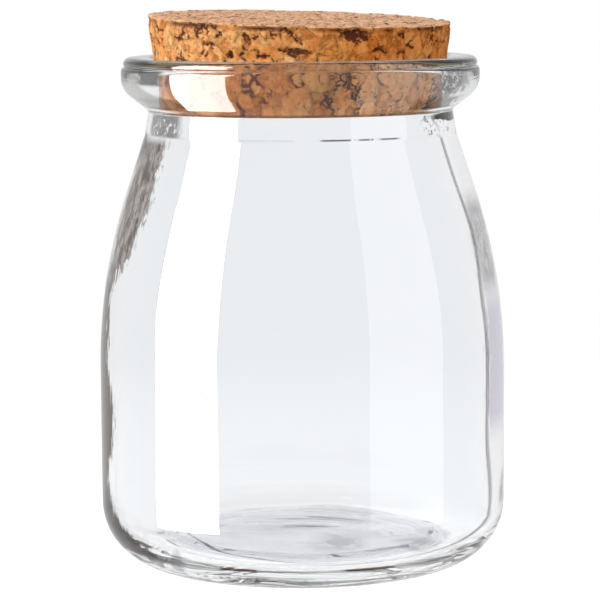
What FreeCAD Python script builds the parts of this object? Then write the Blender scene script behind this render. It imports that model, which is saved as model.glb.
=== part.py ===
"""Corked glass jar: a round blown jar with a sloping shoulder and a rolled rim, and a tapered cork stopper.

The jar stands on Z = 0 with its axis on Z. Its whole wall is one closed section, from the push-up under
the base, round the heel, up the side, over the rim and back down the inside, which is revolved in one go.
The rim and the neck are built outwards from the mouth, and the stopper is turned to the mouth's own cone,
so all three follow a change to the mouth. Millimetres and degrees throughout.
"""

import FreeCAD, Part
import math
import os
from dataclasses import dataclass

# Overall sizes of the jar
BODY_DIAMETER = 68.0
JAR_HEIGHT = 85.0

# Mouth, in which the stopper sits
MOUTH_DIAMETER = 49.2  # of the mouth's cone, in the plane of the rim
MOUTH_TAPER = 7.2  # each side, from vertical
MOUTH_EDGE_RADIUS = 1.2

# Glass
WALL = 2.4
NECK_WALL = 1.85  # where the neck meets the rim
RIM_WALL = 5.3  # from the mouth's cone to the outside of the bead

# Rolled rim: a bead, a crease over it and a lip
BEAD_HEIGHT = 8.8  # from the neck to the top of the jar
BEAD_UNDERSIDE_ANGLE = 38.0  # from horizontal
BEAD_LOWER_RADIUS = 4.0
BEAD_UPPER_RADIUS = 0.9
BEAD_ROOT_RADIUS = 0.8
LIP_HEIGHT = 1.5  # above the crease
LIP_STEP = 0.4  # how far the lip stands in from the bead
LIP_RADIUS = 1.4
CREASE_DEPTH = 0.6
CREASE_WIDTH = 0.6
CREASE_RADIUS = 0.1

# Neck and shoulder, outside
NECK_HEIGHT = 4.0  # from the crease at the top of the shoulder to the bead
NECK_ANGLE = 9.5  # how much the neck opens downwards, from vertical
NECK_CREASE_RADIUS = 3.0
SHOULDER_ANGLE = 18.5  # of the shoulder's straight run, from vertical
SHOULDER_RADIUS = 95.0
THROAT_RADIUS = 6.0  # inside, between the mouth's cone and the shoulder

# Base
HEEL_RADIUS = 10.5
INNER_HEEL_RADIUS = 6.5
STANDING_RING_WIDTH = 2.5
RING_EDGE_RADIUS = 6.0
PUSH_UP = 2.0
FLOOR_EDGE_HEIGHT = 3.7
FLOOR_MIDDLE_HEIGHT = 5.2
DOME_RADIUS = 150.0

# Stopper
CORK_ABOVE_RIM = 6.3  # on the axis
CORK_BELOW_RIM = 8.6
CORK_CLEARANCE = 0.05  # between the stopper and the mouth
CORK_EDGE_RADIUS = 0.6
CORK_TOP_SLOPE = 2.9  # its top is cut a little out of square
CORK_SLOPE_TOWARDS = -38.0  # the side to which the top falls, from +X


@dataclass(frozen=True)
class Corner:
    """A corner of a section: its distance from the axis, its height and the fillet that rounds it."""

    r: float
    z: float
    fillet: float = 0.0

    @property
    def point(self):
        """The sharp corner as a point of the XZ plane."""
        return FreeCAD.Vector(self.r, 0.0, self.z)


def tan_deg(angle):
    """Tangent of an angle in degrees."""
    return math.tan(math.radians(angle))


def tangent_lengths(corners):
    """How far each fillet reaches along its two runs. Two fillets that don't both fit a run share it."""
    reach = [0.0] * len(corners)
    for i in range(1, len(corners) - 1):
        back = corners[i - 1].point - corners[i].point
        ahead = corners[i + 1].point - corners[i].point
        reach[i] = corners[i].fillet / math.tan(back.getAngle(ahead) / 2)
    for i in range(len(corners) - 1):
        room = 0.98 * (corners[i + 1].point - corners[i].point).Length
        wanted = reach[i] + reach[i + 1]
        if wanted > room:
            reach[i] *= room / wanted
            reach[i + 1] *= room / wanted
    return reach


def rounded_path(corners):
    """Edges of straight runs joined by tangent arcs, from the first corner to the last."""
    edges = []
    reach = tangent_lengths(corners)
    here = corners[0].point
    for i in range(1, len(corners) - 1):
        corner = corners[i].point
        back = (corners[i - 1].point - corner).normalize()
        ahead = (corners[i + 1].point - corner).normalize()
        half = back.getAngle(ahead) / 2
        radius = reach[i] * math.tan(half)
        start = corner + back * reach[i]
        middle = corner + (back + ahead).normalize() * (radius / math.sin(half) - radius)
        end = corner + ahead * reach[i]
        edges.append(Part.makeLine(here, start))
        edges.append(Part.Arc(start, middle, end).toShape())
        here = end
    edges.append(Part.makeLine(here, corners[-1].point))
    return edges


def revolved(corners):
    """Solid of revolution about Z, from a section that starts and ends on the axis."""
    edges = rounded_path(corners)
    edges.append(Part.makeLine(corners[-1].point, corners[0].point))
    section = Part.Face(Part.Wire(edges))
    return section.revolve(FreeCAD.Vector(0, 0, 0), FreeCAD.Vector(0, 0, 1), 360)


def mouth_radius(height):
    """Radius of the mouth's cone at a height above the base."""
    return MOUTH_DIAMETER / 2 - (JAR_HEIGHT - height) * tan_deg(MOUTH_TAPER)


def neck_foot():
    """Radius and height of the crease where the neck meets the shoulder."""
    bead_foot = JAR_HEIGHT - BEAD_HEIGHT
    radius = mouth_radius(bead_foot) + NECK_WALL + NECK_HEIGHT * tan_deg(NECK_ANGLE)
    return radius, bead_foot - NECK_HEIGHT


def base_corners():
    """Underside: the push-up in the middle, the ring that the jar stands on, and the heel."""
    body_r = BODY_DIAMETER / 2
    ring_inner = body_r - HEEL_RADIUS - STANDING_RING_WIDTH
    return [
        Corner(0.0, PUSH_UP),
        Corner(ring_inner / 2, PUSH_UP, DOME_RADIUS),
        Corner(ring_inner, 0.0, RING_EDGE_RADIUS),
        Corner(body_r, 0.0, HEEL_RADIUS),
    ]


def side_corners():
    """Outside of the wall, the shoulder and the neck, up to the foot of the bead."""
    body_r = BODY_DIAMETER / 2
    bead_foot = JAR_HEIGHT - BEAD_HEIGHT
    crease_r, crease_z = neck_foot()
    shoulder_z = crease_z - (body_r - crease_r) / tan_deg(SHOULDER_ANGLE)
    return [
        Corner(body_r, shoulder_z, SHOULDER_RADIUS),
        Corner(crease_r, crease_z, NECK_CREASE_RADIUS),
        Corner(mouth_radius(bead_foot) + NECK_WALL, bead_foot, BEAD_ROOT_RADIUS),
    ]


def rim_corners():
    """The bead, the crease over it, the lip and the edge of the mouth."""
    bead_r = MOUTH_DIAMETER / 2 + RIM_WALL
    bead_foot = JAR_HEIGHT - BEAD_HEIGHT
    overhang = bead_r - mouth_radius(bead_foot) - NECK_WALL
    crease_z = JAR_HEIGHT - LIP_HEIGHT
    lip_r = bead_r - LIP_STEP
    return [
        Corner(bead_r, bead_foot + overhang * tan_deg(BEAD_UNDERSIDE_ANGLE), BEAD_LOWER_RADIUS),
        Corner(bead_r, crease_z - CREASE_WIDTH / 2, BEAD_UPPER_RADIUS),
        Corner(bead_r - CREASE_DEPTH, crease_z, CREASE_RADIUS),
        Corner(lip_r, crease_z + CREASE_WIDTH / 2, CREASE_RADIUS),
        Corner(lip_r, JAR_HEIGHT, LIP_RADIUS),
        Corner(MOUTH_DIAMETER / 2, JAR_HEIGHT, MOUTH_EDGE_RADIUS),
    ]


def inside_corners():
    """The throat, the inside of the shoulder and the wall, and the floor with its low dome."""
    inner_r = BODY_DIAMETER / 2 - WALL
    floor_edge = inner_r - INNER_HEEL_RADIUS
    outer_r, outer_z = neck_foot()
    slope = tan_deg(SHOULDER_ANGLE)
    taper = tan_deg(MOUTH_TAPER)
    # The inside of the shoulder runs parallel to its outside, one wall away: r = line_r - z * slope
    line_r = outer_r + outer_z * slope - WALL / math.cos(math.radians(SHOULDER_ANGLE))
    throat_z = (line_r - mouth_radius(0.0)) / (slope + taper)
    return [
        Corner(mouth_radius(throat_z), throat_z, THROAT_RADIUS),
        Corner(inner_r, (line_r - inner_r) / slope, SHOULDER_RADIUS - WALL),
        Corner(inner_r, FLOOR_EDGE_HEIGHT, INNER_HEEL_RADIUS),
        Corner(floor_edge, FLOOR_EDGE_HEIGHT, INNER_HEEL_RADIUS),
        Corner(floor_edge / 2, FLOOR_MIDDLE_HEIGHT, DOME_RADIUS),
        Corner(0.0, FLOOR_MIDDLE_HEIGHT),
    ]


def make_jar():
    """The glass jar."""
    return revolved(base_corners() + side_corners() + rim_corners() + inside_corners())


def make_cork():
    """The tapered stopper, wedged in the mouth, with its top cut out of square and its edges worn round."""
    bottom_z = JAR_HEIGHT - CORK_BELOW_RIM
    top_z = JAR_HEIGHT + CORK_ABOVE_RIM
    blank_top = top_z + MOUTH_DIAMETER * tan_deg(CORK_TOP_SLOPE)
    bottom_r = mouth_radius(bottom_z) - CORK_CLEARANCE
    blank_r = mouth_radius(blank_top) - CORK_CLEARANCE
    blank = Part.makeCone(bottom_r, blank_r, blank_top - bottom_z, FreeCAD.Vector(0, 0, bottom_z))

    # Everything over the sloping top plane is cut away
    reach = 2 * MOUTH_DIAMETER
    waste = Part.makeBox(reach, reach, reach, FreeCAD.Vector(-reach / 2, -reach / 2, 0))
    tilt = FreeCAD.Rotation(FreeCAD.Vector(0, 1, 0), CORK_TOP_SLOPE)
    turn = FreeCAD.Rotation(FreeCAD.Vector(0, 0, 1), CORK_SLOPE_TOWARDS)
    waste.Placement = FreeCAD.Placement(FreeCAD.Vector(0, 0, top_z), turn.multiply(tilt))
    stopper = blank.cut(waste)
    rims = [edge for edge in stopper.Edges if edge.isClosed()]
    return stopper.makeFillet(CORK_EDGE_RADIUS, rims).Solids[0]


def main():
    """Builds both pieces and writes one STEP file for each."""
    os.makedirs("parts", exist_ok=True)
    for name, shape in (("jar", make_jar()), ("cork", make_cork())):
        box = shape.optimalBoundingBox(False)
        print(f"{name}: {shape.ShapeType}, valid {shape.isValid()}, {shape.Volume / 1000:.2f} cm3")
        print(f"  {box.XLength:.2f} x {box.YLength:.2f} x {box.ZLength:.2f} mm, from Z {box.ZMin:.2f}")
        shape.exportStep(f"parts/{name}.step")


main()
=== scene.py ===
"""Looks of a corked glass jar: a clear round jar with a rolled rim, and its stopper of pressed cork granules.

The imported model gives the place. The jar and the stopper are turned again here, to the same named sizes, as
finer meshes with the uneven walls of moulded glass and the relief of pressed cork, and they stand in a plain
pale studio. The scene is in metres. Named sizes in millimetres are multiplied by MM, here or in the calls
that take millimetres.
"""

import logging
import math
from dataclasses import dataclass, field
from enum import Enum
from typing import Any, Optional, Sequence, Union

import bmesh
import bpy
from mathutils import Matrix, Vector, noise


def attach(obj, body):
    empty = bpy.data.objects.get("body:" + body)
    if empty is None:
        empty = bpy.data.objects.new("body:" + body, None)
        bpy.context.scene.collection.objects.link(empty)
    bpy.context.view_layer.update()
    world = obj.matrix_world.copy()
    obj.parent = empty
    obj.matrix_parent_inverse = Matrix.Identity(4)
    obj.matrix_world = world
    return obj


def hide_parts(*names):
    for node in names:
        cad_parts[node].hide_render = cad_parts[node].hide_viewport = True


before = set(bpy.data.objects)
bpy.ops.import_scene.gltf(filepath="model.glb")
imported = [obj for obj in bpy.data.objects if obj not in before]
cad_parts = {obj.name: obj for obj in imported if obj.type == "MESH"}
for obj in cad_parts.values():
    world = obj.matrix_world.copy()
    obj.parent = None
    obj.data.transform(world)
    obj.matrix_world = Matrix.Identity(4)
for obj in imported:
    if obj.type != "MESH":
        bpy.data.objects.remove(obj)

MM = 0.001
LOG = logging.getLogger("corked_jar")

Colour = tuple[float, float, float]
Socket = bpy.types.NodeSocket
Wire = Union[Socket, float, Sequence[float]]


def linear(red: int, green: int, blue: int) -> Colour:
    """A colour given as it looks on a screen, 0 to 255, as the linear values that a shader takes.

    Args:
        red: Red, 0 to 255.
        green: Green, 0 to 255.
        blue: Blue, 0 to 255.

    Returns:
        The three linear values.
    """
    parts = (value / 255 for value in (red, green, blue))
    return tuple(part / 12.92 if part <= 0.04045 else ((part + 0.055) / 1.055) ** 2.4 for part in parts)


def tinted(red: int, green: int, blue: int) -> Colour:
    """The base colour of glass through whose skin white looks like a given colour, 0 to 255.

    A clear shader tints each crossing of its skin by the root of its base colour, so the value is squared.

    Args:
        red: Red, 0 to 255.
        green: Green, 0 to 255.
        blue: Blue, 0 to 255.

    Returns:
        The three linear values.
    """
    return tuple(part ** 2 for part in linear(red, green, blue))


def smooth(low: float, high: float, value: float) -> float:
    """A soft step from 0 at low to 1 at high.

    Args:
        low: Where the step starts.
        high: Where the step ends.
        value: The value that is looked up.

    Returns:
        A number from 0 to 1.
    """
    part = min(max((value - low) / (high - low), 0.0), 1.0)
    return part * part * (3 - 2 * part)


# Node trees


class Graph:
    """A node tree with short calls that add nodes and join them. It serves shaders and geometry alike.

    Places are in metres, as the nodes have them. Sizes and limits that a call takes in millimetres say so.
    """

    def __init__(self, tree: bpy.types.NodeTree) -> None:
        """Takes hold of a tree.

        Args:
            tree: The tree to which nodes are added.
        """
        self.tree = tree

    @classmethod
    def emptied(cls, owner: Union[bpy.types.Material, bpy.types.World]) -> "Graph":
        """Empties the node tree of a material or of the world, and takes hold of it.

        Args:
            owner: The material or the world.

        Returns:
            The graph of its tree.
        """
        owner.use_nodes = True
        owner.node_tree.nodes.clear()
        return cls(owner.node_tree)

    def add(self, kind: str, inputs: Optional[dict] = None, **settings: Any) -> bpy.types.Node:
        """Adds a node, gives it its settings, and fills or joins its inputs.

        Args:
            kind: The node's type name.
            inputs: Socket name or number to a value, or to the output that feeds it.
            **settings: Properties of the node itself.

        Returns:
            The new node.
        """
        node = self.tree.nodes.new(kind)
        for name, value in settings.items():
            setattr(node, name, value)
        for key, value in (inputs or {}).items():
            self.feed(node.inputs[key], value)
        return node

    def feed(self, socket: Socket, value: Wire) -> None:
        """Joins an output to a socket, or writes a plain value into it.

        Args:
            socket: The input that is filled.
            value: An output socket, a number or a colour.
        """
        if isinstance(value, Socket):
            self.tree.links.new(value, socket)
        elif socket.type == "RGBA" and len(value) == 3:
            socket.default_value = (*value, 1.0)
        else:
            socket.default_value = value

    def math(self, operation: str, *values: Wire, clamp: bool = False) -> Socket:
        """Adds a Math node.

        Args:
            operation: The node's operation.
            *values: Its inputs, as numbers or outputs.
            clamp: Whether the result is held between 0 and 1.

        Returns:
            The node's output.
        """
        inputs = dict(enumerate(values))
        return self.add("ShaderNodeMath", inputs, operation=operation, use_clamp=clamp).outputs[0]

    def vector(self, operation: str, *values: Wire) -> Socket:
        """Adds a Vector Math node.

        Args:
            operation: The node's operation.
            *values: Its inputs. The second one of a SCALE is a number.

        Returns:
            The node's output, which is a number for a LENGTH, a DISTANCE and a DOT_PRODUCT.
        """
        keys = (0, "Scale") if operation == "SCALE" else range(len(values))
        node = self.add("ShaderNodeVectorMath", dict(zip(keys, values)), operation=operation)
        return node.outputs["Value" if operation in ("LENGTH", "DISTANCE", "DOT_PRODUCT") else "Vector"]

    def object_place(self) -> Socket:
        """The coordinates of the object itself."""
        return self.add("ShaderNodeTexCoord").outputs["Object"]

    def parts(self, value: Wire) -> Sequence[Socket]:
        """The three parts of a vector or a colour."""
        return self.add("ShaderNodeSeparateXYZ", {0: value}).outputs

    def attribute(self, name: str) -> Socket:
        """A number that the mesh carries."""
        return self.add("ShaderNodeAttribute", attribute_name=name).outputs["Fac"]

    def mix(self, share: Wire, first: Wire, second: Wire, blend: str = "MIX") -> Socket:
        """Mixes two colours.

        Args:
            share: How much of the second colour is taken.
            first: The first colour.
            second: The second colour.
            blend: The way in which they are mixed.

        Returns:
            The mixed colour.
        """
        node = self.add("ShaderNodeMix", data_type="RGBA", blend_type=blend)
        for name, value in (("Factor_Float", share), ("A_Color", first), ("B_Color", second)):
            self.feed(next(item for item in node.inputs if item.identifier == name), value)
        return next(item for item in node.outputs if item.identifier == "Result_Color")

    def remap(self, value: Wire, low: float, high: float, start: float = 0.0, end: float = 1.0,
              soft: bool = True) -> Socket:
        """Maps a value from one range to another and holds it there.

        Args:
            value: What is mapped.
            low: Where the range starts.
            high: Where the range ends.
            start: The result at low.
            end: The result at high.
            soft: Whether both ends are eased.

        Returns:
            The mapped value.
        """
        easing = "SMOOTHSTEP" if soft else "LINEAR"
        node = self.add("ShaderNodeMapRange", {0: value, 1: low, 2: high, 3: start, 4: end},
                        interpolation_type=easing, clamp=True)
        return node.outputs[0]

    def fade(self, value: Wire, low: float, high: float, *ends: float, soft: bool = True) -> Socket:
        """As remap, with low and high in millimetres."""
        return self.remap(value, low * MM, high * MM, *ends, soft=soft)

    def band(self, value: Wire, low: float, high: float, soft: float) -> Socket:
        """1 between two limits and 0 outside them.

        Args:
            value: What is looked up.
            low: The lower limit.
            high: The upper limit.
            soft: How wide each step is.

        Returns:
            The mask.
        """
        rise = self.remap(value, low - soft / 2, low + soft / 2)
        return self.math("MULTIPLY", rise, self.remap(value, high + soft / 2, high - soft / 2))

    def strip(self, value: Wire, low: float, high: float, soft: float) -> Socket:
        """As band, in millimetres."""
        return self.band(value, low * MM, high * MM, soft * MM)

    def product(self, *values: Wire) -> Socket:
        """Multiplies values.

        Args:
            *values: Numbers or outputs.

        Returns:
            Their product.
        """
        result = values[0]
        for value in values[1:]:
            result = self.math("MULTIPLY", result, value)
        return result

    def rest(self, mask: Wire) -> Socket:
        """What a mask leaves of 1."""
        return self.math("SUBTRACT", 1.0, mask)

    def scaled(self, place: Wire, x: float, y: float, z: float) -> Socket:
        """Scales coordinates along each axis, which stretches a pattern."""
        return self.vector("MULTIPLY", place, (x, y, z))

    def away(self, place: Wire, centre: Wire, *size: float) -> Socket:
        """How far a place is from the middle of a spot, where 1 is at the spot's edge.

        Args:
            place: The coordinates.
            centre: The middle of the spot, in metres.
            *size: Half its size along each axis, in millimetres.

        Returns:
            The distance.
        """
        local = self.vector("SUBTRACT", place, centre)
        return self.vector("LENGTH", self.scaled(local, *(1 / (half * MM) for half in size)))

    def warped(self, place: Wire, size: float, amount: float) -> Socket:
        """Bends coordinates by a noise, so that straight edges wander.

        Args:
            place: The coordinates.
            size: The size of the bends, in millimetres.
            amount: How far they reach, in millimetres.

        Returns:
            The bent coordinates.
        """
        wander = self.add("ShaderNodeTexNoise", {"Vector": place, "Scale": 1 / (size * MM), "Detail": 1.0})
        centred = self.vector("SUBTRACT", wander.outputs["Color"], (0.5, 0.5, 0.5))
        return self.vector("ADD", place, self.vector("SCALE", centred, amount * MM))

    def noise(self, place: Wire, size: float, detail: float = 2.0, roughness: float = 0.5,
              shift: float = 0.0) -> Socket:
        """Adds a noise from 0 to 1.

        Args:
            place: The coordinates.
            size: The size of its largest shapes, in millimetres.
            detail: How many finer layers it has.
            roughness: How strong those layers are.
            shift: A fourth coordinate, which tells one noise from another.

        Returns:
            The noise's value.
        """
        return self.add("ShaderNodeTexNoise", {
            "Vector": place, "W": shift, "Scale": 1 / (size * MM), "Detail": detail, "Roughness": roughness,
        }, noise_dimensions="4D").outputs[0]

    def cells(self, place: Wire, size: float, feature: str = "F1") -> bpy.types.Node:
        """Adds a cell pattern.

        Args:
            place: The coordinates.
            size: The width of a cell, in millimetres.
            feature: Which of its distances is given.

        Returns:
            The node.
        """
        return self.add("ShaderNodeTexVoronoi", {"Vector": place, "Scale": 1 / (size * MM)},
                        voronoi_dimensions="3D", feature=feature)

    def ramp(self, value: Wire, stops: Sequence[tuple[float, Colour]]) -> Socket:
        """Adds a colour ramp.

        Args:
            value: Where on the ramp to look.
            stops: Places on the ramp, each with its linear colour.

        Returns:
            The ramp's colour.
        """
        node = self.add("ShaderNodeValToRGB", {0: value})
        elements = node.color_ramp.elements
        while len(elements) < len(stops):
            elements.new(1.0)
        for element, (place, colour) in zip(elements, stops):
            element.position = place
            element.color = (*colour, 1.0)
        return node.outputs[0]


# Turned shapes


@dataclass(frozen=True)
class Corner:
    """A corner of a turned section, in millimetres.

    Attributes:
        radius: Its distance from the axis.
        height: Its height above the table.
        fillet: The radius of the arc that rounds it.
        steps: How many chords make that arc.
    """

    radius: float
    height: float
    fillet: float = 0.0
    steps: int = 6

    @property
    def point(self) -> Vector:
        """The sharp corner, in metres, in the plane of X and Z."""
        return Vector((self.radius, 0.0, self.height)) * MM


def arc_reaches(corners: Sequence[Corner]) -> list[float]:
    """How far each corner's arc reaches along its two runs. Two arcs that don't both fit a run share it.

    Args:
        corners: The section's corners.

    Returns:
        One length in metres for each corner.
    """
    points = [corner.point for corner in corners]
    reach = [0.0] * len(corners)
    for i in range(1, len(corners) - 1):
        half = (points[i - 1] - points[i]).angle(points[i + 1] - points[i]) / 2
        reach[i] = corners[i].fillet * MM / math.tan(half)
    for i in range(len(corners) - 1):
        room = 0.98 * (points[i + 1] - points[i]).length
        wanted = reach[i] + reach[i + 1]
        if wanted > room:
            reach[i] *= room / wanted
            reach[i + 1] *= room / wanted
    return reach


def draw_run(mesh: bmesh.types.BMesh, tip: bmesh.types.BMVert, end: Vector,
             spacing: float) -> bmesh.types.BMVert:
    """Extrudes a straight run from the tip of a section, in even steps.

    Args:
        mesh: The mesh that holds the section.
        tip: The section's last vertex.
        end: Where the run ends.
        spacing: The longest step, in metres.

    Returns:
        The section's new last vertex.
    """
    run = end - tip.co
    count = max(1, math.ceil(run.length / spacing))
    for _ in range(count):
        tip = bmesh.ops.extrude_vert_indiv(mesh, verts=[tip])["verts"][0]
        tip.co += run / count
    return tip


def turned(corners: Sequence[Corner], spacing: float, sides: int,
           first_spacing: float = 0.0) -> bmesh.types.BMesh:
    """Turns a section of straight runs and round corners about the Z axis into one closed skin.

    Args:
        corners: The section, from the axis to the axis.
        spacing: The longest step along a straight run, in metres.
        sides: How many steps go round.
        first_spacing: The longest step along the first run, where that is less fine.

    Returns:
        A new mesh whose faces point outwards.
    """
    mesh = bmesh.new()
    tip = mesh.verts.new(corners[0].point)
    for i, reach in enumerate(arc_reaches(corners)):
        here = corners[i].point
        if reach == 0.0:
            if i:
                tip = draw_run(mesh, tip, here, spacing)
            continue
        back = (corners[i - 1].point - here).normalized()
        ahead = (corners[i + 1].point - here).normalized()
        half = back.angle(ahead) / 2
        centre = here + (back + ahead).normalized() * (reach / math.cos(half))
        tip = draw_run(mesh, tip, here + back * reach, max(spacing, first_spacing if i == 1 else 0.0))
        swung = bmesh.ops.spin(mesh, geom=[tip], cent=centre, axis=ahead.cross(back).normalized(),
                               angle=math.pi - 2 * half, steps=corners[i].steps, use_merge=False)
        tip = next(item for item in swung["geom_last"] if isinstance(item, bmesh.types.BMVert))
    bmesh.ops.spin(mesh, geom=mesh.verts[:] + mesh.edges[:], cent=(0, 0, 0), axis=(0, 0, 1),
                   angle=2 * math.pi, steps=sides, use_merge=True)
    bmesh.ops.remove_doubles(mesh, verts=mesh.verts[:], dist=1e-6)
    bmesh.ops.recalc_face_normals(mesh, faces=mesh.faces[:])
    return mesh


def finished_piece(mesh: bmesh.types.BMesh, name: str, material: bpy.types.Material) -> bpy.types.Object:
    """Makes an object of a mesh, with smooth faces and one material.

    Args:
        mesh: The shape, which is freed.
        name: The object's name.
        material: Its finish.

    Returns:
        The new object, linked to the scene.
    """
    data = bpy.data.meshes.new(name)
    mesh.to_mesh(data)
    mesh.free()
    data.shade_smooth()
    data.materials.append(material)
    piece = bpy.data.objects.new(name, data)
    bpy.context.scene.collection.objects.link(piece)
    return piece


def tan_deg(angle: float) -> float:
    """Tangent of an angle in degrees."""
    return math.tan(math.radians(angle))


@dataclass(frozen=True)
class Mouth:
    """The cone in which the stopper sits, in millimetres and degrees.

    Attributes:
        diameter: Its diameter in the plane of the rim.
        taper: How far each side leans from vertical.
        rim_height: Height of the rim above the table.
    """

    diameter: float = 49.2
    taper: float = 7.2
    rim_height: float = 85.0

    def radius_at(self, height: float) -> float:
        """Radius of the cone at a height above the table."""
        return self.diameter / 2 - (self.rim_height - height) * tan_deg(self.taper)


# Finishes


class Skin:
    """The skin of the glass while it is painted: where points lie, how they are seen, and the tint so far.

    Attributes:
        graph: The material's tree.
        place: Object coordinates.
        x: Their part along X.
        y: Their part along Y.
        height: Their part along Z.
        flat: The coordinates without their height.
        reach: Distance from the axis.
        facing: 0 where the skin faces the light's path, 1 where it is edge on.
        outside: 1 on the outer skin.
        inside: 1 on the inner skin.
        tint: The tint so far.
    """

    def __init__(self, graph: Graph, clear: Colour) -> None:
        """Reads what the paint goes by.

        Args:
            graph: The material's tree.
            clear: The tint of bare glass.
        """
        self.graph = graph
        self.place = graph.object_place()
        self.x, self.y, self.height = graph.parts(self.place)
        self.flat = graph.scaled(self.place, 1.0, 1.0, 0.0)
        self.reach = graph.vector("LENGTH", self.flat)
        self.facing = graph.add("ShaderNodeLayerWeight", {"Blend": 0.5}).outputs["Facing"]
        self.outside = graph.attribute("outside")
        self.inside = graph.rest(self.outside)
        self.tint: Wire = clear

    def level(self, low: float, high: float, soft: float) -> Socket:
        """1 between two heights, in millimetres, and 0 elsewhere."""
        return self.graph.strip(self.height, low, high, soft)

    def paint(self, colour: Wire, *masks: Wire, blend: str = "MIX") -> None:
        """Lays a colour over the tint so far.

        Args:
            colour: The colour.
            *masks: Where it goes and how strong it is, all multiplied.
            blend: The way in which it is mixed in.
        """
        self.tint = self.graph.mix(self.graph.product(*masks), self.tint, colour, blend)


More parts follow.
